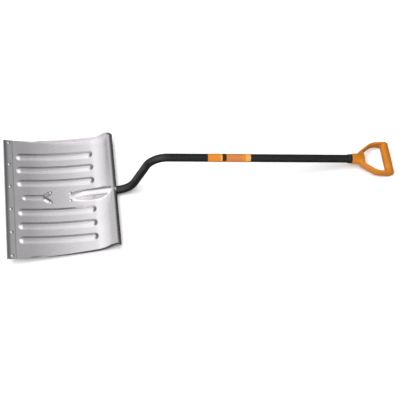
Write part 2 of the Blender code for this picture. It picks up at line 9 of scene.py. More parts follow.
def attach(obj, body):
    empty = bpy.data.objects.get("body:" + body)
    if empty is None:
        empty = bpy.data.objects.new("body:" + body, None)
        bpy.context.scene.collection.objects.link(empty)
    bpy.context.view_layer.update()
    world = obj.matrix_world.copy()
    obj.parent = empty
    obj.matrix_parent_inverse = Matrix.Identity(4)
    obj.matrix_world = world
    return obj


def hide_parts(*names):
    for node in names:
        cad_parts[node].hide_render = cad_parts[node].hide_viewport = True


# snow shovel: pressed scoop, S-bent shaft and D-grip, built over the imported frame
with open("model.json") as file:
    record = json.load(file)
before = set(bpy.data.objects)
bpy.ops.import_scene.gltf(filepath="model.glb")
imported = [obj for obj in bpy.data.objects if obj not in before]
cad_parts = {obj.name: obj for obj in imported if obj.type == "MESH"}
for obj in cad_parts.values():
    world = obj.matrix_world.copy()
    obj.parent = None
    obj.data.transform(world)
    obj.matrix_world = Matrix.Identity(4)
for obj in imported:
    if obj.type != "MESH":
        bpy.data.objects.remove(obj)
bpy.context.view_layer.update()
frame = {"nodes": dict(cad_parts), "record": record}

mm = 0.001
gap = 0.3 * mm


# the shovel's own axes: x from the front edge to the grip, y across, z up out of the scoop

sheet = {
    "thickness": 1.5 * mm,
    "frontWidth": 457 * mm,
    "rearWidth": 428 * mm,
    "start": 2.5 * mm,
    "leadSlope": math.radians(-10),
    "leadStraight": 9 * mm,
    "leadBend": 6 * mm,
    "flatEnd": 80 * mm,
    "longRadius": 820 * mm,
    "longAngle": math.radians(15.2),
    "tightRadius": 86 * mm,
    "tightAngle": math.radians(44),
    "lipRadius": 12 * mm,
    "lipAngle": math.radians(109),
}

shaft = {
    "radius": 13.5 * mm,
    "wall": 1.2 * mm,
    "start": (222 * mm, 20.5 * mm),
    "slope": math.radians(15.5),
    "stem": 157 * mm,
    "bendRadius": 65 * mm,
    "riserSlope": math.radians(78.5),
    "riser": 109 * mm,
    "handleSlope": math.radians(1.5),
    "handle": 629 * mm,
    "insideGrip": 35 * mm,
    "roundFrom": 60 * mm,
    "tongueHalfWidth": 19.5 * mm,
    "tongueHalfHeight": 1.4 * mm,
    "tongueStart": 206 * mm,
    "tongueEnd": 246 * mm,
    "sides": 64,
}


def walkPath(start, slope, moves, distance):
    x, z = start
    for length, turn in moves:
        step = min(distance, length)
        turned = turn * step / length
        chord = step
        if abs(turned) > 1e-9:
            chord = 2 * step / turned * math.sin(turned / 2)
        x += chord * math.cos(slope + turned / 2)
        z += chord * math.sin(slope + turned / 2)
        slope += turned
        distance -= step
        if distance <= 0:
            break
    return x, z, slope


leadMoves = ((sheet["leadStraight"], 0), (sheet["leadBend"], -sheet["leadSlope"]))
leadEnd = sheet["leadStraight"] + sheet["leadBend"]
leadDrop = walkPath((0, 0), sheet["leadSlope"], leadMoves, leadEnd)[1]
longEnd = sheet["flatEnd"] + sheet["longRadius"] * sheet["longAngle"]
tightEnd = longEnd + sheet["tightRadius"] * sheet["tightAngle"]
sheetEnd = tightEnd + sheet["lipRadius"] * sheet["lipAngle"]
sheetMoves = leadMoves + (
    (sheet["flatEnd"] - leadEnd, 0),
    (longEnd - sheet["flatEnd"], sheet["longAngle"]),
    (tightEnd - longEnd, sheet["tightAngle"]),
    (sheetEnd - tightEnd, -sheet["lipAngle"]),
)
firstTurn = shaft["riserSlope"] - shaft["slope"]
secondTurn = shaft["handleSlope"] - shaft["riserSlope"]
shaftMoves = (
    (shaft["stem"], 0),
    (shaft["bendRadius"] * firstTurn, firstTurn),
    (shaft["riser"], 0),
    (shaft["bendRadius"] * -secondTurn, secondTurn),
    (shaft["handle"] + shaft["insideGrip"], 0),
)
shaftEnd = sum(length for length, turn in shaftMoves)
gripMouth = shaftEnd - shaft["insideGrip"]


def onSheet(distance):
    return walkPath((0, -leadDrop), sheet["leadSlope"], sheetMoves, distance)


def onShaft(distance):
    return walkPath(shaft["start"], shaft["slope"], shaftMoves, distance)


def aboveSheet(distance, across, lift):
    x, z, slope = onSheet(distance)
    return Vector((x - lift * math.sin(slope), across, z + lift * math.cos(slope)))


def halfWidth(distance):
    share = onSheet(distance)[0] / onSheet(sheetEnd)[0]
    return (sheet["frontWidth"] + (sheet["rearWidth"] - sheet["frontWidth"]) * share) / 2


def smoothStep(value):
    value = min(max(value, 0), 1)
    return value * value * (3 - 2 * value)


# the record's sole mount says how the shovel lies on the floor
sole = frame["record"]["mounts"][0]
leanAngle = math.atan2(-sole["axis"][0], -sole["axis"][2])
leanTurn = Matrix.Rotation(leanAngle, 4, "Y")
soleAt = leanTurn @ aboveSheet(60 * mm, sole["pos_m"][1], -sheet["thickness"] / 2)
lay = Matrix.Translation(Vector(sole["pos_m"]) - soleAt) @ leanTurn

mouthX, mouthZ, mouthSlope = onShaft(gripMouth)
gripFrame = lay @ Matrix.Translation((mouthX, 0, mouthZ)) @ Matrix.Rotation(-mouthSlope, 4, "Y")


# making and finishing

def deselectAll():
    if bpy.context.object and bpy.context.object.mode == "EDIT":
        bpy.ops.object.mode_set(mode="OBJECT")
    bpy.ops.object.select_all(action="DESELECT")


def shapedGrid(name, rows, columns, place):
    # a grid primitive pressed into shape: place(row, column) says where each corner goes
    deselectAll()
    bpy.ops.mesh.primitive_grid_add(x_subdivisions=rows, y_subdivisions=columns, size=2)
    piece = bpy.context.object
    piece.name = name
    for corner in piece.data.vertices:
        row = round((corner.co.x + 1) / 2 * rows)
        column = round((corner.co.y + 1) / 2 * columns)
        corner.co = place(row, column)
    return piece


def turnStack(name, sides, rings):
    # a round piece grown ring by ring, as (radius, height), from its lowest face
    deselectAll()
    radius, height = rings[0]
    bpy.ops.mesh.primitive_circle_add(
        vertices=sides, radius=radius, fill_type="NGON", location=(0, 0, height)
    )
    piece = bpy.context.object
    piece.name = name
    bpy.ops.object.transform_apply()
    bpy.ops.object.mode_set(mode="EDIT")
    bpy.ops.mesh.select_all(action="SELECT")
    for nextRadius, nextHeight in rings[1:]:
        bpy.ops.mesh.extrude_region_move(TRANSFORM_OT_translate={"value": (0, 0, nextHeight - height)})
        factor = nextRadius / radius
        bpy.ops.transform.resize(value=(factor, factor, 1), center_override=(0, 0, nextHeight))
        radius, height = nextRadius, nextHeight
    bpy.ops.mesh.select_all(action="SELECT")
    bpy.ops.mesh.normals_make_consistent(inside=False)
    bpy.ops.object.mode_set(mode="OBJECT")
    return piece


def weld(piece):
    deselectAll()
    piece.select_set(True)
    bpy.context.view_layer.objects.active = piece
    bpy.ops.object.mode_set(mode="EDIT")
    bpy.ops.mesh.select_all(action="SELECT")
    bpy.ops.mesh.remove_doubles(threshold=0.00001)
    bpy.ops.mesh.normals_make_consistent(inside=False)
    bpy.ops.object.mode_set(mode="OBJECT")


def applyModifier(piece, kind, **settings):
    deselectAll()
    piece.select_set(True)
    bpy.context.view_layer.objects.active = piece
    modifier = piece.modifiers.new(kind.lower(), kind)
    for key, value in settings.items():
        setattr(modifier, key, value)
    bpy.ops.object.modifier_apply(modifier=modifier.name)


def roundSharpEdges(piece, width, angle=65, segments=2):
    # a small bevel on the edges that are sharper than the angle
    applyModifier(
        piece, "BEVEL", width=width, segments=segments, limit_method="ANGLE", angle_limit=math.radians(angle)
    )


def finishPiece(piece, look, nodes, place=None):
    # puts the piece in its place, gives it its look and hands it to the frame
    if place is not None:
        piece.data.transform(place)
    deselectAll()
    piece.select_set(True)
    bpy.context.view_layer.objects.active = piece
    bpy.ops.object.shade_smooth_by_angle(angle=math.radians(38))
    piece.data.materials.clear()
    piece.data.materials.append(look)
    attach(piece, "root")
    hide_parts(*nodes)


# looks

def newLook(name, roughness, metallic=0.0):
    look = bpy.data.materials.new(name)
    look.use_nodes = True
    shader = look.node_tree.nodes["Principled BSDF"]
    shader.inputs["Roughness"].default_value = roughness
    shader.inputs["Metallic"].default_value = metallic
    return look, look.node_tree, shader


def addNode(tree, kind, **inputs):
    node = tree.nodes.new(kind)
    for key, value in inputs.items():
        node.inputs[key.replace("_", " ")].default_value = value
    return node


def objectCoords(tree, scale=(1, 1, 1), turn=(0, 0, 0)):
    coords = tree.nodes.new("ShaderNodeTexCoord")
    mapping = addNode(tree, "ShaderNodeMapping", Scale=scale, Rotation=turn)
    tree.links.new(coords.outputs["Object"], mapping.inputs["Vector"])
    return mapping.outputs["Vector"]


def noiseNode(tree, vector, scale, detail=4.0, roughness=0.55):
    node = addNode(tree, "ShaderNodeTexNoise", Scale=scale, Detail=detail, Roughness=roughness)
    tree.links.new(vector, node.inputs["Vector"])
    return node.outputs["Fac"]


def colourRamp(tree, factor, stops, interpolation="LINEAR"):
    node = tree.nodes.new("ShaderNodeValToRGB")
    node.color_ramp.interpolation = interpolation
    while len(node.color_ramp.elements) < len(stops):
        node.color_ramp.elements.new(0.5)
    for element, (position, colour) in zip(node.color_ramp.elements, stops):
        element.position = position
        element.color = (*colour, 1)
    tree.links.new(factor, node.inputs["Fac"])
    return node.outputs["Color"]


def rangeNode(tree, value, low, high, toLow, toHigh):
    node = tree.nodes.new("ShaderNodeMapRange")
    for key, number in (("From Min", low), ("From Max", high), ("To Min", toLow), ("To Max", toHigh)):
        node.inputs[key].default_value = number
    tree.links.new(value, node.inputs["Value"])
    return node.outputs["Result"]


def addBump(tree, shader, height, strength, distance, before=None):
    bump = addNode(tree, "ShaderNodeBump", Strength=strength, Distance=distance)
    tree.links.new(height, bump.inputs["Height"])
    if before is not None:
        tree.links.new(before, bump.inputs["Normal"])
    tree.links.new(bump.outputs["Normal"], shader.inputs["Normal"])
    return bump.outputs["Normal"]


def bareMetalLook(name, dark, light, roughness, grain=(12, 260, 12), paintedShadeBand=None):
    # bare sheet metal: cloudy colour, a faint rolling grain, fine scratches, and where asked a darker band
    # of painted shade
    look, tree, shader = newLook(name, roughness, 1.0)
    wide = objectCoords(tree)
    clouds = noiseNode(tree, wide, 9, 5, 0.6)
    colour = colourRamp(tree, clouds, [(0.3, dark), (0.7, light)])
    if paintedShadeBand is not None:
        # painted shade: a darker band across the piece, standing in for shade that falls there: where it
        # starts, where it is full, how strong
        start, full, strength = paintedShadeBand
        split = tree.nodes.new("ShaderNodeSeparateXYZ")
        tree.links.new(wide, split.inputs["Vector"])
        share = rangeNode(tree, split.outputs["X"], start, full, 0.0, strength)
        mix = tree.nodes.new("ShaderNodeMix")
        mix.data_type = "RGBA"
        tree.links.new(share, mix.inputs["Factor"])
        tree.links.new(colour, mix.inputs[6])
        # the colour that the painted shade darkens towards
        mix.inputs[7].default_value = (0.10, 0.10, 0.105, 1)
        colour = mix.outputs[2]
    tree.links.new(colour, shader.inputs["Base Color"])
    along = objectCoords(tree, grain)
    streaks = noiseNode(tree, along, 1.0, 6, 0.7)
    mixed = rangeNode(tree, streaks, 0.3, 0.7, roughness - 0.03, roughness + 0.04)
    tree.links.new(mixed, shader.inputs["Roughness"])
    fine = addBump(tree, shader, streaks, 0.06, 0.00002)
    scratchCoords = objectCoords(tree, (30, 700, 30), (0, 0, math.radians(24)))
    scratches = noiseNode(tree, scratchCoords, 1.0, 2, 0.5)
    lines = rangeNode(tree, scratches, 0.70, 0.74, 1.0, 0.0)
    addBump(tree, shader, lines, 0.25, 0.00003, fine)
    return look


def paintLook(name, dark, light, roughness, speckle=900):
    # powder coat: near black, orange peel, a little dust in the gloss
    look, tree, shader = newLook(name, roughness)
    wide = objectCoords(tree)
    colour = colourRamp(tree, noiseNode(tree, wide, 30, 3), [(0.35, dark), (0.7, light)])
    tree.links.new(colour, shader.inputs["Base Color"])
    gloss = rangeNode(tree, noiseNode(tree, wide, 60, 5, 0.7), 0.3, 0.7, roughness - 0.06, roughness + 0.1)
    tree.links.new(gloss, shader.inputs["Roughness"])
    addBump(tree, shader, noiseNode(tree, wide, speckle, 2), 0.3, 0.00006)
    return look


def mouldedLook(name, dark, light, roughness):
    # moulded plastic: fine spark texture, slightly cloudy pigment, a parting line on the middle plane
    look, tree, shader = newLook(name, roughness)
    wide = objectCoords(tree)
    colour = colourRamp(tree, noiseNode(tree, wide, 22, 3), [(0.3, dark), (0.72, light)])
    tree.links.new(colour, shader.inputs["Base Color"])
    gloss = rangeNode(tree, noiseNode(tree, wide, 45, 6, 0.7), 0.3, 0.7, roughness - 0.05, roughness + 0.1)
    tree.links.new(gloss, shader.inputs["Roughness"])
    grain = addBump(tree, shader, noiseNode(tree, wide, 1500, 2, 0.6), 0.35, 0.00008)
    # height above the grip's middle plane, from the plane's own direction in the laid pose
    plane = gripFrame.to_3x3().col[2]
    dot = tree.nodes.new("ShaderNodeVectorMath")
    dot.operation = "DOT_PRODUCT"
    tree.links.new(wide, dot.inputs[0])
    dot.inputs[1].default_value = plane
    away = tree.nodes.new("ShaderNodeMath")
    away.operation = "SUBTRACT"
    away.inputs[1].default_value = plane.dot(gripFrame.translation)
    tree.links.new(dot.outputs["Value"], away.inputs[0])
    distance = tree.nodes.new("ShaderNodeMath")
    distance.operation = "ABSOLUTE"
    tree.links.new(away.outputs[0], distance.inputs[0])
    ridge = rangeNode(tree, distance.outputs[0], 0.0002, 0.0006, 1.0, 0.0)
    addBump(tree, shader, ridge, 0.5, 0.0003, grain)
    return look


def wrapLook(name):
    # printed film: plain colour blocks along the shaft, read from the wrap's own map
    look, tree, shader = newLook(name, 0.34)
    uv = tree.nodes.new("ShaderNodeUVMap")
    split = tree.nodes.new("ShaderNodeSeparateXYZ")
    tree.links.new(uv.outputs["UV"], split.inputs["Vector"])
    orange, amber = (0.60, 0.20, 0.015), (0.62, 0.33, 0.10)
    rust, black = (0.50, 0.17, 0.05), (0.03, 0.012, 0.006)
    along = colourRamp(
        tree,
        split.outputs["X"],
        [
            (0.0, orange),
            (0.29, amber),
            (0.335, black),
            (0.43, orange),
            (0.46, rust),
            (0.79, orange),
            (0.88, amber),
        ],
        "CONSTANT",
    )
    around = tree.nodes.new("ShaderNodeMath")
    around.operation = "PINGPONG"
    around.inputs[1].default_value = 0.25
    tree.links.new(split.outputs["Y"], around.inputs[0])
    margin = rangeNode(tree, around.outputs[0], 0.030, 0.034, 1.0, 0.0)
    mix = tree.nodes.new("ShaderNodeMix")
    mix.data_type = "RGBA"
    tree.links.new(margin, mix.inputs["Factor"])
    tree.links.new(along, mix.inputs[6])
    mix.inputs[7].default_value = (*orange, 1)
    tree.links.new(mix.outputs[2], shader.inputs["Base Color"])
    wide = objectCoords(tree)
    gloss = rangeNode(tree, noiseNode(tree, wide, 80, 5, 0.7), 0.3, 0.7, 0.28, 0.44)
    tree.links.new(gloss, shader.inputs["Roughness"])
    addBump(tree, shader, noiseNode(tree, wide, 400, 2), 0.15, 0.00005)
    return look


# painted shade: the rolled lip and the strip's front edge are darkened in the colour itself, standing in for
# the shade where they turn away from the light
lipShadeFrom = (lay @ aboveSheet(tightEnd - 4 * mm, 0, 0)).x
lipShadeFull = (lay @ aboveSheet(tightEnd + 7 * mm, 0, 0)).x
edgeShadeFrom = (lay @ aboveSheet(11 * mm, 0, 0)).x
edgeShadeFull = (lay @ aboveSheet(4 * mm, 0, 0)).x
# the aluminium gets a band of painted shade over its rolled lip
aluminium = bareMetalLook(
    "pressedAluminium", (0.79, 0.765, 0.79), (0.88, 0.855, 0.88), 0.28, paintedShadeBand=(lipShadeFrom, lipShadeFull, 0.5)
)
# the steel strip gets a band of painted shade along its front fold
stripSteel = bareMetalLook(
    "wearStripSteel",
    (0.68, 0.69, 0.70),
    (0.80, 0.81, 0.82),
    0.33,
    (260, 12, 260),
    paintedShadeBand=(edgeShadeFrom, edgeShadeFull, 0.45),
)
plateSteel = bareMetalLook("backingPlateSteel", (0.42, 0.43, 0.44), (0.55, 0.56, 0.57), 0.42)
rivetMetal = bareMetalLook("rivetAluminium", (0.80, 0.80, 0.81), (0.88, 0.88, 0.88), 0.24, (60, 60, 60))
screwMetal = bareMetalLook("platedScrew", (0.30, 0.30, 0.31), (0.42, 0.42, 0.43), 0.34, (80, 80, 80))
blackCoat = paintLook("blackPowderCoat", (0.007, 0.007, 0.007), (0.012, 0.012, 0.013), 0.33)
collarBlack = paintLook("collarPlastic", (0.010, 0.010, 0.011), (0.018, 0.018, 0.019), 0.46, 1800)
gripOrange = mouldedLook("gripOrange", (0.44, 0.137, 0.004), (0.54, 0.182, 0.008), 0.36)
filmPrint = wrapLook("shaftWrapFilm")
print("looks ready")


# blade

ribs = {
    "centres": (56 * mm, 108 * mm, 160 * mm),
    "foot": 14 * mm,
    "top": 4.5 * mm,
    "height": 5.5 * mm,
    "start": 42 * mm,
    "end": 303 * mm,
    "centreStart": 58 * mm,
    "centreEnd": 125 * mm,
    "centreFoot": 10.5 * mm,
    "centreHeight": 3.8 * mm,
    "forkEnd": (146 * mm, 14.5 * mm),
    "forkFoot": 8.5 * mm,
}

tunnel = {
    "radius": shaft["radius"] + sheet["thickness"] / 2 + 0.75 * mm,
    "foot": 21 * mm,
    "noseStart": 219 * mm,
    "noseLength": 62 * mm,
    "noseWidth": 0.6,
}

flange = {
    "start": 36 * mm,
    "flatReach": 3 * mm,
    "fullReach": 20 * mm,
    "angle": math.radians(82),
    "bend": 2 * mm,
}

bladeGrid = {
    "rows": 168,
    "inner": 200,
    "innerHalf": 180 * mm,
    "outer": 8,
    "edge": 7,
    "ripple": 0.22 * mm,
}


def capsuleLift(distance, across, start, end, foot, top):
    # 1 on a rib's top, 0 outside its foot; start and end are points of its middle line
    line = Vector(end) - Vector(start)
    offset = Vector((distance, across)) - Vector(start)
    share = min(max(offset.dot(line) / line.length_squared, 0), 1)
    away = (offset - line * share).length
    return smoothStep((foot - away) / (foot - top))


def ribLift(distance, across):
    side = abs(across)
    foot = ribs["foot"]
    lift = 0
    for centre in ribs["centres"]:
        if abs(side - centre) < foot:
            ends = ((ribs["start"] + foot, centre), (ribs["end"] - foot, centre))
            lift = ribs["height"] * capsuleLift(distance, side, *ends, foot, ribs["top"])
    if side < 24 * mm and distance < 165 * mm:
        foot = ribs["centreFoot"]
        ends = ((ribs["centreStart"] + foot, 0), (ribs["centreEnd"], 0))
        middle = capsuleLift(distance, side, *ends, foot, 4 * mm)
        fork = capsuleLift(distance, side, ends[1], ribs["forkEnd"], ribs["forkFoot"], 1 * mm)
        lift = max(lift, ribs["centreHeight"] * max(middle, 0.55 * fork))
    return lift


def tunnelLift(distance, across):
    before = min(max((tunnel["noseStart"] + tunnel["noseLength"] - distance) / tunnel["noseLength"], 0), 1)
    nose = 1 - before**2
    side = abs(across) / (tunnel["noseWidth"] + (1 - tunnel["noseWidth"]) * nose)
    if side >= tunnel["foot"] or distance < tunnel["noseStart"]:
        return 0
    x, z, slope = onSheet(distance)
    beyond = Vector((x - shaft["start"][0], z - shaft["start"][1]))
    height = beyond.dot(Vector((-math.sin(shaft["slope"]), math.cos(shaft["slope"]))))
    radius = tunnel["radius"]
    if side <= radius:
        lift = math.sqrt(max(radius**2 - side**2, 0)) - height
    else:
        lift = -height * (tunnel["foot"] - side) / (tunnel["foot"] - radius)
    return max(lift, 0) * nose


def sheetRipple(distance, across):
    return noise.noise(Vector((distance * 11, across * 9, 3.7))) * bladeGrid["ripple"]


def pressedPoint(distance, across):
    lift = ribLift(distance, across) + sheetRipple(distance, across)
    point = aboveSheet(distance, across, lift)
    up = Vector((-math.sin(shaft["slope"]), 0, math.cos(shaft["slope"])))
    return point + up * tunnelLift(distance, across)


def edgePoint(distance, side, share):
    # share 0 is the last inner line, 1 is the fold, above 1 runs up the flange
    rise = smoothStep((distance - flange["start"]) / (longEnd - flange["start"]))
    fall = smoothStep((sheetEnd - distance) / (sheetEnd - tightEnd))
    angle = flange["angle"] * smoothStep(3 * rise)
    reach = flange["flatReach"] + (flange["fullReach"] - flange["flatReach"]) * rise * fall
    bend = flange["bend"]

    def along(run):
        if run < bend * angle:
            return bend * math.sin(run / bend), bend * (1 - math.cos(run / bend))
        rest = run - bend * angle
        out = bend * math.sin(angle) + rest * math.cos(angle)
        return out, bend * (1 - math.cos(angle)) + rest * math.sin(angle)

    fold = halfWidth(distance) - along(reach)[0]
    if share <= 1:
        across = bladeGrid["innerHalf"] + (fold - bladeGrid["innerHalf"]) * share
        return pressedPoint(distance, side * across)
    out, up = along(reach * (share - 1))
    return aboveSheet(distance, side * (fold + out), up + sheetRipple(distance, side * fold))


def bladePlace(row, column):
    distance = sheet["start"] + (sheetEnd - sheet["start"]) * row / bladeGrid["rows"]
    rim = bladeGrid["outer"] + bladeGrid["edge"]
    last = bladeGrid["inner"] + 2 * rim
    side = -1
    if column > last / 2:
        column = last - column
        side = 1
    if column >= rim:
        inward = (column - rim) / (bladeGrid["inner"] / 2)
        return pressedPoint(distance, side * bladeGrid["innerHalf"] * (1 - inward))
    if column >= bladeGrid["edge"]:
        return edgePoint(distance, side, 1 - (column - bladeGrid["edge"]) / bladeGrid["outer"])
    return edgePoint(distance, side, 2 - column / bladeGrid["edge"])


def makeBlade():
    columns = bladeGrid["inner"] + 2 * (bladeGrid["outer"] + bladeGrid["edge"])
    piece = shapedGrid("bladeShell", bladeGrid["rows"], columns, bladePlace)
    weld(piece)
    # relax the tunnel's flanks, as drawn metal would
    bpy.ops.object.mode_set(mode="EDIT")
    bpy.ops.mesh.select_all(action="DESELECT")
    bpy.ops.object.mode_set(mode="OBJECT")
    for corner in piece.data.vertices:
        inTunnel = abs(corner.co.y) < 27 * mm and 215 * mm < corner.co.x
        corner.select = inTunnel and corner.co.x < 362 * mm
    bpy.ops.object.mode_set(mode="EDIT")
    bpy.ops.mesh.vertices_smooth(factor=0.5, repeat=3)
    bpy.ops.object.mode_set(mode="OBJECT")
    applyModifier(piece, "SOLIDIFY", thickness=sheet["thickness"], offset=0, use_even_offset=True)
    roundSharpEdges(piece, 0.4 * mm, 70)
    finishPiece(piece, aluminium, ["blade"], lay)


makeBlade()
print("blade pressed")


# wear strip, folded over the front edge

strip = {"thickness": 1.2 * mm, "topLeg": 31 * mm, "bottomLeg": 26 * mm, "columns": 120, "dent": 0.12 * mm}


def stripPath():
    lift = sheet["thickness"] / 2 + gap + strip["thickness"] / 2
    foldAt = sheet["start"] - 0.5 * mm
    steps = 10
    path = [(strip["topLeg"] + (foldAt - strip["topLeg"]) * step / steps, lift) for step in range(steps + 1)]
    for step in range(1, 12):
        angle = math.pi * step / 12
        path.append((foldAt - lift * math.sin(angle), lift * math.cos(angle)))
    path += [(foldAt + (strip["bottomLeg"] - foldAt) * step / steps, -lift) for step in range(steps + 1)]
    return path


def makeStrip():
    path = stripPath()

    def place(row, column):
        distance, lift = path[row]
        side = 2 * column / strip["columns"] - 1
        across = side * halfWidth(distance)
        dent = noise.noise(Vector((across * 35, lift * 200, 8.1))) * strip["dent"]
        return aboveSheet(distance - abs(dent) * 0.5, across, lift * (1 + 0.05 * dent / strip["dent"]))

    piece = shapedGrid("wearStripFold", len(path) - 1, strip["columns"], place)
    weld(piece)
    applyModifier(piece, "SOLIDIFY", thickness=strip["thickness"], offset=0, use_even_offset=True)
    roundSharpEdges(piece, 0.3 * mm, 60)
    finishPiece(piece, stripSteel, ["wear_strip"], lay)


makeStrip()
print("wear strip folded")


# rivets

rivet = {
    "sides": 40,
    "head": 5.2 * mm,
    "headHeight": 2.2 * mm,
    "shank": 2.4 * mm,
    "tail": 4.2 * mm,
    "tailHeight": 1.4 * mm,
    "stripAt": 19 * mm,
    "stripRow": (-217.5 * mm, -130.5 * mm, -43.5 * mm, 43.5 * mm, 130.5 * mm, 217.5 * mm),
    "frontAt": (153 * mm, 19 * mm),
    "rearAt": (219 * mm, 14 * mm),
    "rim": 0.35 * mm,
    "plate": 1.6 * mm,
}


def rivetRings(above, below):
    tailEnd = -below - rivet["tailHeight"]
    rings = [(rivet["tail"] * 0.55, tailEnd), (rivet["tail"] * 0.92, tailEnd + 0.15 * mm)]
    rings += [(rivet["tail"], tailEnd + 0.6 * mm), (rivet["tail"] * 0.96, -below), (rivet["shank"], -below)]
    rings += [(rivet["shank"], above), (rivet["head"] * 0.97, above), (rivet["head"], above + rivet["rim"])]
    for step in range(1, 9):
        angle = math.radians(90 * step / 8.4)
        height = above + rivet["rim"] + (rivet["headHeight"] - rivet["rim"]) * math.sin(angle)
        rings.append((rivet["head"] * math.cos(angle), height))
    return rings


def makeRivets(nodeName, places, above, below):
    model = turnStack("rivetModel", rivet["sides"], rivetRings(above, below))
    for number, (distance, across) in enumerate(places, 1):
        copy = model.copy()
        copy.data = model.data.copy()
        copy.name = f"{nodeName}Dome{number}"
        bpy.context.collection.objects.link(copy)
        x, z, slope = onSheet(distance)
        spot = Matrix.Translation((x, across, z)) @ Matrix.Rotation(-slope, 4, "Y")
        spin = Matrix.Rotation(number * 0.7, 4, "Z")
        finishPiece(copy, rivetMetal, [f"{nodeName}_{number}"], lay @ spot @ spin)
    bpy.data.objects.remove(model)


stripGrip = sheet["thickness"] / 2 + 2 * gap + strip["thickness"]
stripPlaces = [(rivet["stripAt"], across) for across in rivet["stripRow"]]
makeRivets("wear_strip_rivet", stripPlaces, stripGrip, stripGrip)
socketAbove = sheet["thickness"] / 2 + gap
socketBelow = sheet["thickness"] / 2 + 2 * gap + rivet["plate"]
frontPair = [(rivet["frontAt"][0], side * rivet["frontAt"][1]) for side in (-1, 1)]
rearPair = [(rivet["rearAt"][0], side * rivet["rearAt"][1]) for side in (-1, 1)]
makeRivets("front_socket_rivet", frontPair, socketAbove, socketBelow)
makeRivets("rear_socket_rivet", rearPair, socketAbove, socketBelow + 2 * shaft["tongueHalfHeight"] + gap)
print("rivets set")


# shaft

def sectionPoint(share, wide, high, squareness):
    angle = 2 * math.pi * share
    cosine, sine = math.cos(angle), math.sin(angle)
    across = math.copysign(abs(cosine) ** (2 / squareness), cosine) * wide
    up = math.copysign(abs(sine) ** (2 / squareness), sine) * high
    return across, up


def shaftStations():
    # each is (x, z, slope, half width, half height, squareness)
    under = sheet["thickness"] / 2 + gap + shaft["tongueHalfHeight"]
    wide, high = shaft["tongueHalfWidth"], shaft["tongueHalfHeight"]
    stations = []
    for step in range(7):
        distance = shaft["tongueStart"] + (shaft["tongueEnd"] - shaft["tongueStart"]) * step / 6
        x, z, slope = onSheet(distance)
        x += under * math.sin(slope)
        z -= under * math.cos(slope)
        stations.append((x, z, slope, wide, high, 6))
    flatX, flatZ, flatSlope = x, z, slope
    roundX, roundZ, roundSlope = onShaft(shaft["roundFrom"])
    for step in range(1, 18):
        along = step / 18
        nowHigh = high + (shaft["radius"] - high) * smoothStep(along)
        nowWide = wide + (shaft["radius"] - wide) * smoothStep(1.5 * along)
        nowSlope = flatSlope + (roundSlope - flatSlope) * along
        straight = flatZ + (roundZ - shaft["radius"] - flatZ + high) * along
        x = flatX + (roundX - flatX) * along
        squareness = 6 - 4 * smoothStep(2 * along)
        stations.append((x, straight + nowHigh - high, nowSlope, nowWide, nowHigh, squareness))
    distances = [shaft["roundFrom"]]
    start = 0
    for length, turn in shaftMoves:
        pieces = 40 if turn else max(2, round(length / (60 * mm)))
        begin = max(start, shaft["roundFrom"])
        distances += [begin + (start + length - begin) * step / pieces for step in range(1, pieces + 1)]
        start += length
    for distance in distances:
        x, z, slope = onShaft(distance)
        stations.append((x, z, slope, shaft["radius"], shaft["radius"], 2))
    return stations


def makeShaft():
    stations = shaftStations()
    wall = shaft["wall"]

    def placeWall(inset):
        def place(row, column):
            x, z, slope, wide, high, squareness = stations[row]
            across, up = sectionPoint(column / shaft["sides"], wide - inset, high - inset, squareness)
            return Vector((x - up * math.sin(slope), across, z + up * math.cos(slope)))

        return place

    outer = shapedGrid("shaftTube", len(stations) - 1, shaft["sides"], placeWall(0))
    inner = shapedGrid("shaftBore", len(stations) - 1, shaft["sides"], placeWall(wall))
    weld(outer)
    weld(inner)
    deselectAll()
    inner.select_set(True)
    outer.select_set(True)
    bpy.context.view_layer.objects.active = outer
    bpy.ops.object.join()
    ends = bmesh.new()
    ends.from_mesh(outer.data)
    for endX in (min(v.co.x for v in ends.verts), max(v.co.x for v in ends.verts)):
        rim = [e for e in ends.edges if e.is_boundary and all(abs(v.co.x - endX) < 5 * mm for v in e.verts)]
        bmesh.ops.bridge_loops(ends, edges=rim)
    bmesh.ops.recalc_face_normals(ends, faces=ends.faces)
    ends.to_mesh(outer.data)
    ends.free()
    finishPiece(outer, blackCoat, ["shaft"], lay)


makeShaft()
print("shaft bent")


# printed wrap and collar

wrap = {
    "start": -499 * mm,
    "end": -354 * mm,
    "gap": 0.25 * mm,
    "thickness": 0.3 * mm,
    "rows": 30,
    "sides": 72,
}
collar = {"length": 12 * mm, "radius": 15.6 * mm, "sides": 72}


def makeWrap():
    radius = shaft["radius"] + wrap["gap"] + wrap["thickness"] / 2

    def place(row, column):
        distance = gripMouth + wrap["start"] + (wrap["end"] - wrap["start"]) * row / wrap["rows"]
        x, z, slope = onShaft(distance)
        angle = 2 * math.pi * column / wrap["sides"]
        across, up = radius * math.cos(angle), radius * math.sin(angle)
        return Vector((x - up * math.sin(slope), across, z + up * math.cos(slope)))

    piece = shapedGrid("shaftWrapFilm", wrap["rows"], wrap["sides"], place)
    weld(piece)
    applyModifier(piece, "SOLIDIFY", thickness=wrap["thickness"], offset=0, use_even_offset=True)
    finishPiece(piece, filmPrint, ["label_wrap"], lay)


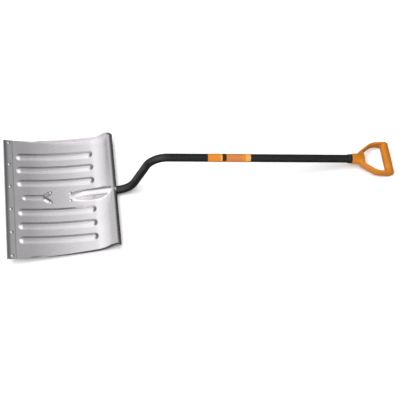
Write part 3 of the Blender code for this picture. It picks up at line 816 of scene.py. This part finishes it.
def makeCollar():
    inner, outer, length = shaft["radius"] + gap, collar["radius"], collar["length"] - gap
    profile = [(0, inner), (0, outer - 1.0 * mm), (0.3 * mm, outer - 0.4 * mm), (1.0 * mm, outer)]
    for groove in (3.2 * mm, 6.2 * mm):
        profile += [(groove, outer), (groove + 0.3 * mm, outer - 0.5 * mm)]
        profile += [(groove + 0.9 * mm, outer - 0.5 * mm), (groove + 1.2 * mm, outer)]
    profile += [(length - 0.6 * mm, outer), (length, outer - 0.5 * mm), (length, inner)]
    begin = gripMouth - collar["length"]
    startX, startZ, slope = onShaft(begin)

    def place(row, column):
        along, radius = profile[row % len(profile)]
        angle = 2 * math.pi * column / collar["sides"]
        across, up = radius * math.cos(angle), radius * math.sin(angle)
        x = startX + along * math.cos(slope) - up * math.sin(slope)
        return Vector((x, across, startZ + along * math.sin(slope) + up * math.cos(slope)))

    piece = shapedGrid("gripCollarRing", len(profile), collar["sides"], place)
    weld(piece)
    finishPiece(piece, collarBlack, ["grip_collar"], lay)


makeWrap()
makeCollar()
print("wrap and collar on")


# grip

grip = {
    "length": 142 * mm,
    "barRadius": 15 * mm,
    "barHalf": 57.5 * mm,
    "barWaist": 13.4 * mm,
    "barBelly": 0.9 * mm,
    "lobeRadius": 14.6 * mm,
    "lobeAt": 47.5 * mm,
    "bore": 13.9 * mm,
    "boreDepth": 36 * mm,
    "armHalf": 4.8 * mm,
    "armCorners": ((31, 19), (81, 56.5), (131, 56.5)),
    "armBend": 20,
    "armDepth": 14.2 * mm,
    "voxel": 1.1 * mm,
    "screwAt": 19 * mm,
    "socket": 17.3 * mm,
}


def solidLoft(name, stations, sides, squareness):
    # stations: (centre, direction out of the middle plane's edge, half width, half depth)
    def place(row, column):
        centre, outward, wide, deep = stations[row]
        side, up = sectionPoint(column / sides, wide, deep, squareness)
        return Vector((centre[0] + outward[0] * side, centre[1] + outward[1] * side, up))

    piece = shapedGrid(name, len(stations) - 1, sides, place)
    weld(piece)
    return piece


def capped(stations):
    # closes a loft by shrinking its end sections to a point
    first, last = stations[0], stations[-1]
    return [(first[0], first[1], 1e-9, 1e-9)] + stations + [(last[0], last[1], 1e-9, 1e-9)]


def socketStations():
    shape = [
        (0.3, 16.2, 16.2), (1.3, 17.1, 17.1), (8, 17.2, 17.2), (20, 17.4, 17.2), (28, 19.8, 16.6),
        (36, 25, 15.2), (40, 27.5, 14.6), (43, 28.5, 14.2), (44.5, 27, 13.2),
    ]
    return [((along * mm, 0), (0, 1), wide * mm, deep * mm) for along, wide, deep in shape]


def armStations(side):
    # worked out in millimetres
    corners = [Vector(corner) for corner in grip["armCorners"]]
    bend = grip["armBend"]
    points = [corners[0] + (corners[1] - corners[0]) * step / 12 for step in range(10)]
    entry = corners[1] + (corners[0] - corners[1]).normalized() * bend
    leave = corners[1] + (corners[2] - corners[1]).normalized() * bend
    points = [point for point in points if (point - corners[1]).length > bend]
    for step in range(11):
        share = step / 10
        points.append(entry * (1 - share) ** 2 + corners[1] * 2 * share * (1 - share) + leave * share**2)
    points += [leave + (corners[2] - leave) * step / 6 for step in range(1, 7)]
    stations = []
    for index, point in enumerate(points):
        before = points[max(index - 1, 0)]
        after = points[min(index + 1, len(points) - 1)]
        run = (after - before).normalized()
        swell = smoothStep((point.x - 104) / 16)
        half = grip["armHalf"] + 0.3 * mm * swell
        deep = grip["armDepth"] + 1.4 * mm * swell
        centre = (point.x * mm, side * point.y * mm)
        stations.append((centre, (-run.y, side * run.x), half, deep))
    return stations


def barStations():
    middle = grip["length"] - grip["barRadius"]
    stations = []
    for step in range(61):
        across = grip["barHalf"] * (step / 30 - 1)
        lobe = smoothStep((abs(across) - grip["lobeAt"]) / (1.5 * mm))
        belly = 1 - (across / grip["barHalf"]) ** 2
        radius = grip["barWaist"] + grip["barBelly"] * belly
        radius += (grip["lobeRadius"] - radius) * lobe
        stations.append(((middle + 0.2 * mm, across), (1, 0), radius, radius * (1.0 + 0.02 * lobe)))
    return stations


def makeGrip():
    parts = [solidLoft("gripBody", capped(socketStations()), 64, 2.3)]
    for side in (-1, 1):
        parts.append(solidLoft("gripArm", capped(armStations(side)), 48, 3.6))
    parts.append(solidLoft("gripBar", capped(barStations()), 64, 2.15))
    deselectAll()
    for part in parts:
        part.select_set(True)
    bpy.context.view_layer.objects.active = parts[0]
    bpy.ops.object.join()
    piece = parts[0]
    piece.name = "gripMoulding"
    applyModifier(piece, "REMESH", mode="VOXEL", voxel_size=grip["voxel"])
    applyModifier(piece, "SMOOTH", factor=0.5, iterations=3)
    bpy.ops.mesh.primitive_cylinder_add(
        vertices=64, radius=grip["bore"], depth=grip["boreDepth"] + 4 * mm,
        location=(grip["boreDepth"] / 2 - 2 * mm, 0, 0), rotation=(0, math.pi / 2, 0),
    )
    bore = bpy.context.object
    applyModifier(piece, "BOOLEAN", operation="DIFFERENCE", object=bore, solver="EXACT")
    bpy.data.objects.remove(bore)
    finishPiece(piece, gripOrange, ["grip"], gripFrame)


makeGrip()
print("grip moulded")


# grip screw

screw = {
    "head": 4.2 * mm,
    "headHeight": 1.8 * mm,
    "shank": 2.1 * mm,
    "length": 8 * mm,
    "pitch": 1.1 * mm,
    "sides": 36,
}


def makeScrew():
    base = -grip["socket"] - gap
    low = base - screw["headHeight"]
    rings = [(screw["head"] * 0.72, low), (screw["head"] * 0.93, low + 0.3 * mm)]
    rings += [(screw["head"], low + 0.9 * mm), (screw["head"], base), (screw["shank"], base)]
    for turn in range(5):
        height = base + screw["pitch"] * turn
        rings += [(screw["shank"], height + 0.3 * mm), (screw["shank"] * 0.8, height + 0.8 * mm)]
    rings += [(screw["shank"] * 0.75, base + 6.2 * mm), (screw["shank"] * 0.1, base + screw["length"])]
    piece = turnStack("gripScrewHead", screw["sides"], rings)
    for angle in (0, math.pi / 2):
        bpy.ops.mesh.primitive_cube_add(size=1, location=(0, 0, low), rotation=(0, 0, angle))
        blade = bpy.context.object
        blade.scale = (4.4 * mm, 0.9 * mm, 1.8 * mm)
        bpy.ops.object.transform_apply(location=True, rotation=True, scale=True)
        applyModifier(piece, "BOOLEAN", operation="DIFFERENCE", object=blade, solver="EXACT")
        bpy.data.objects.remove(blade)
    place = gripFrame @ Matrix.Translation((grip["screwAt"], 0, 0))
    finishPiece(piece, screwMetal, ["grip_screw"], place)


makeScrew()
plate = frame["nodes"]["backing_plate"]
plate.data.materials.clear()
plate.data.materials.append(plateSteel)
print("screw and backing plate ready")


# studio

studio = {
    "cameraAt": (-0.2774, -1.8672, 3.2181),
    "cameraTurn": (30.785, -12.663, -6.739),
    "lens": 99.15,
    "sensor": 36,
    "floor": 30,
    "overheadAt": (-0.4, -0.6, 3.9),
    "overheadSize": 3.2,
    "overheadPower": 150,
    # the tent's brightness from left to right, and from the near side to the far side
    "sideLevels": (
        (0.0, 0.8), (0.16, 1.0), (0.30, 1.22), (0.42, 1.22), (0.50, 0.92),
        (0.56, 0.7), (0.655, 0.44), (0.74, 0.2), (1.0, 0.13),
    ),
    "depthLevels": (
        (0.0, 1.1), (0.55, 1.22), (0.66, 1.08), (0.715, 0.96), (0.75, 1.04),
        (0.785, 0.84), (0.85, 0.5), (0.91, 0.22), (1.0, 0.15),
    ),
    "lowLevel": 0.12,
    "horizon": (-0.12, 0.38),
}


def makeFloor():
    deselectAll()
    bpy.ops.mesh.primitive_plane_add(size=studio["floor"], location=(0, 0, 0))
    floor = bpy.context.object
    floor.name = "studioFloor"
    look, tree, shader = newLook("studioFloorPaint", 0.9)
    shader.inputs["Base Color"].default_value = (0.95, 0.95, 0.95, 1)
    floor.data.materials.append(look)
    floor.visible_glossy = False


def makeSky():
    # a studio tent: bright above and to the left, darker to the right, and dark below the shovel
    world = bpy.data.worlds.new("studioTent")
    bpy.context.scene.world = world
    world.use_nodes = True
    tree = world.node_tree
    coords = tree.nodes.new("ShaderNodeTexCoord")
    split = tree.nodes.new("ShaderNodeSeparateXYZ")
    tree.links.new(coords.outputs["Generated"], split.inputs["Vector"])
    across = rangeNode(tree, split.outputs["X"], -1.0, 1.0, 0.0, 1.0)
    side = colourRamp(tree, across, [(place, (level,) * 3) for place, level in studio["sideLevels"]])
    nearness = rangeNode(tree, split.outputs["Y"], -1.0, 1.0, 0.0, 1.0)
    depth = colourRamp(tree, nearness, [(place, (level,) * 3) for place, level in studio["depthLevels"]])
    both = tree.nodes.new("ShaderNodeMix")
    both.data_type = "RGBA"
    both.blend_type = "MULTIPLY"
    both.inputs["Factor"].default_value = 1
    tree.links.new(side, both.inputs[6])
    tree.links.new(depth, both.inputs[7])
    height = rangeNode(tree, split.outputs["Z"], *studio["horizon"], 0.0, 1.0)
    mix = tree.nodes.new("ShaderNodeMix")
    mix.data_type = "RGBA"
    tree.links.new(height, mix.inputs["Factor"])
    mix.inputs[6].default_value = (studio["lowLevel"],) * 3 + (1,)
    tree.links.new(both.outputs[2], mix.inputs[7])
    tree.links.new(mix.outputs[2], tree.nodes["Background"].inputs["Color"])


def makeOverhead():
    # the softbox that lights the floor; the tent alone shows in the metal
    deselectAll()
    bpy.ops.object.light_add(type="AREA", location=studio["overheadAt"])
    light = bpy.context.object
    light.name = "overheadSoftbox"
    light.data.energy = studio["overheadPower"]
    light.data.shape = "SQUARE"
    light.data.size = studio["overheadSize"]
    light.visible_glossy = False


def makeCamera():
    deselectAll()
    turn = Euler([math.radians(angle) for angle in studio["cameraTurn"]]).to_matrix().to_4x4()
    stand = lay @ Matrix.Translation(studio["cameraAt"]) @ turn
    bpy.ops.object.camera_add(location=stand.translation, rotation=stand.to_euler())
    camera = bpy.context.object
    camera.data.lens = studio["lens"]
    camera.data.sensor_width = studio["sensor"]
    bpy.context.scene.camera = camera


makeFloor()
makeSky()
makeOverhead()
makeCamera()
bpy.context.scene.view_settings.view_transform = "Standard"
print("studio ready")
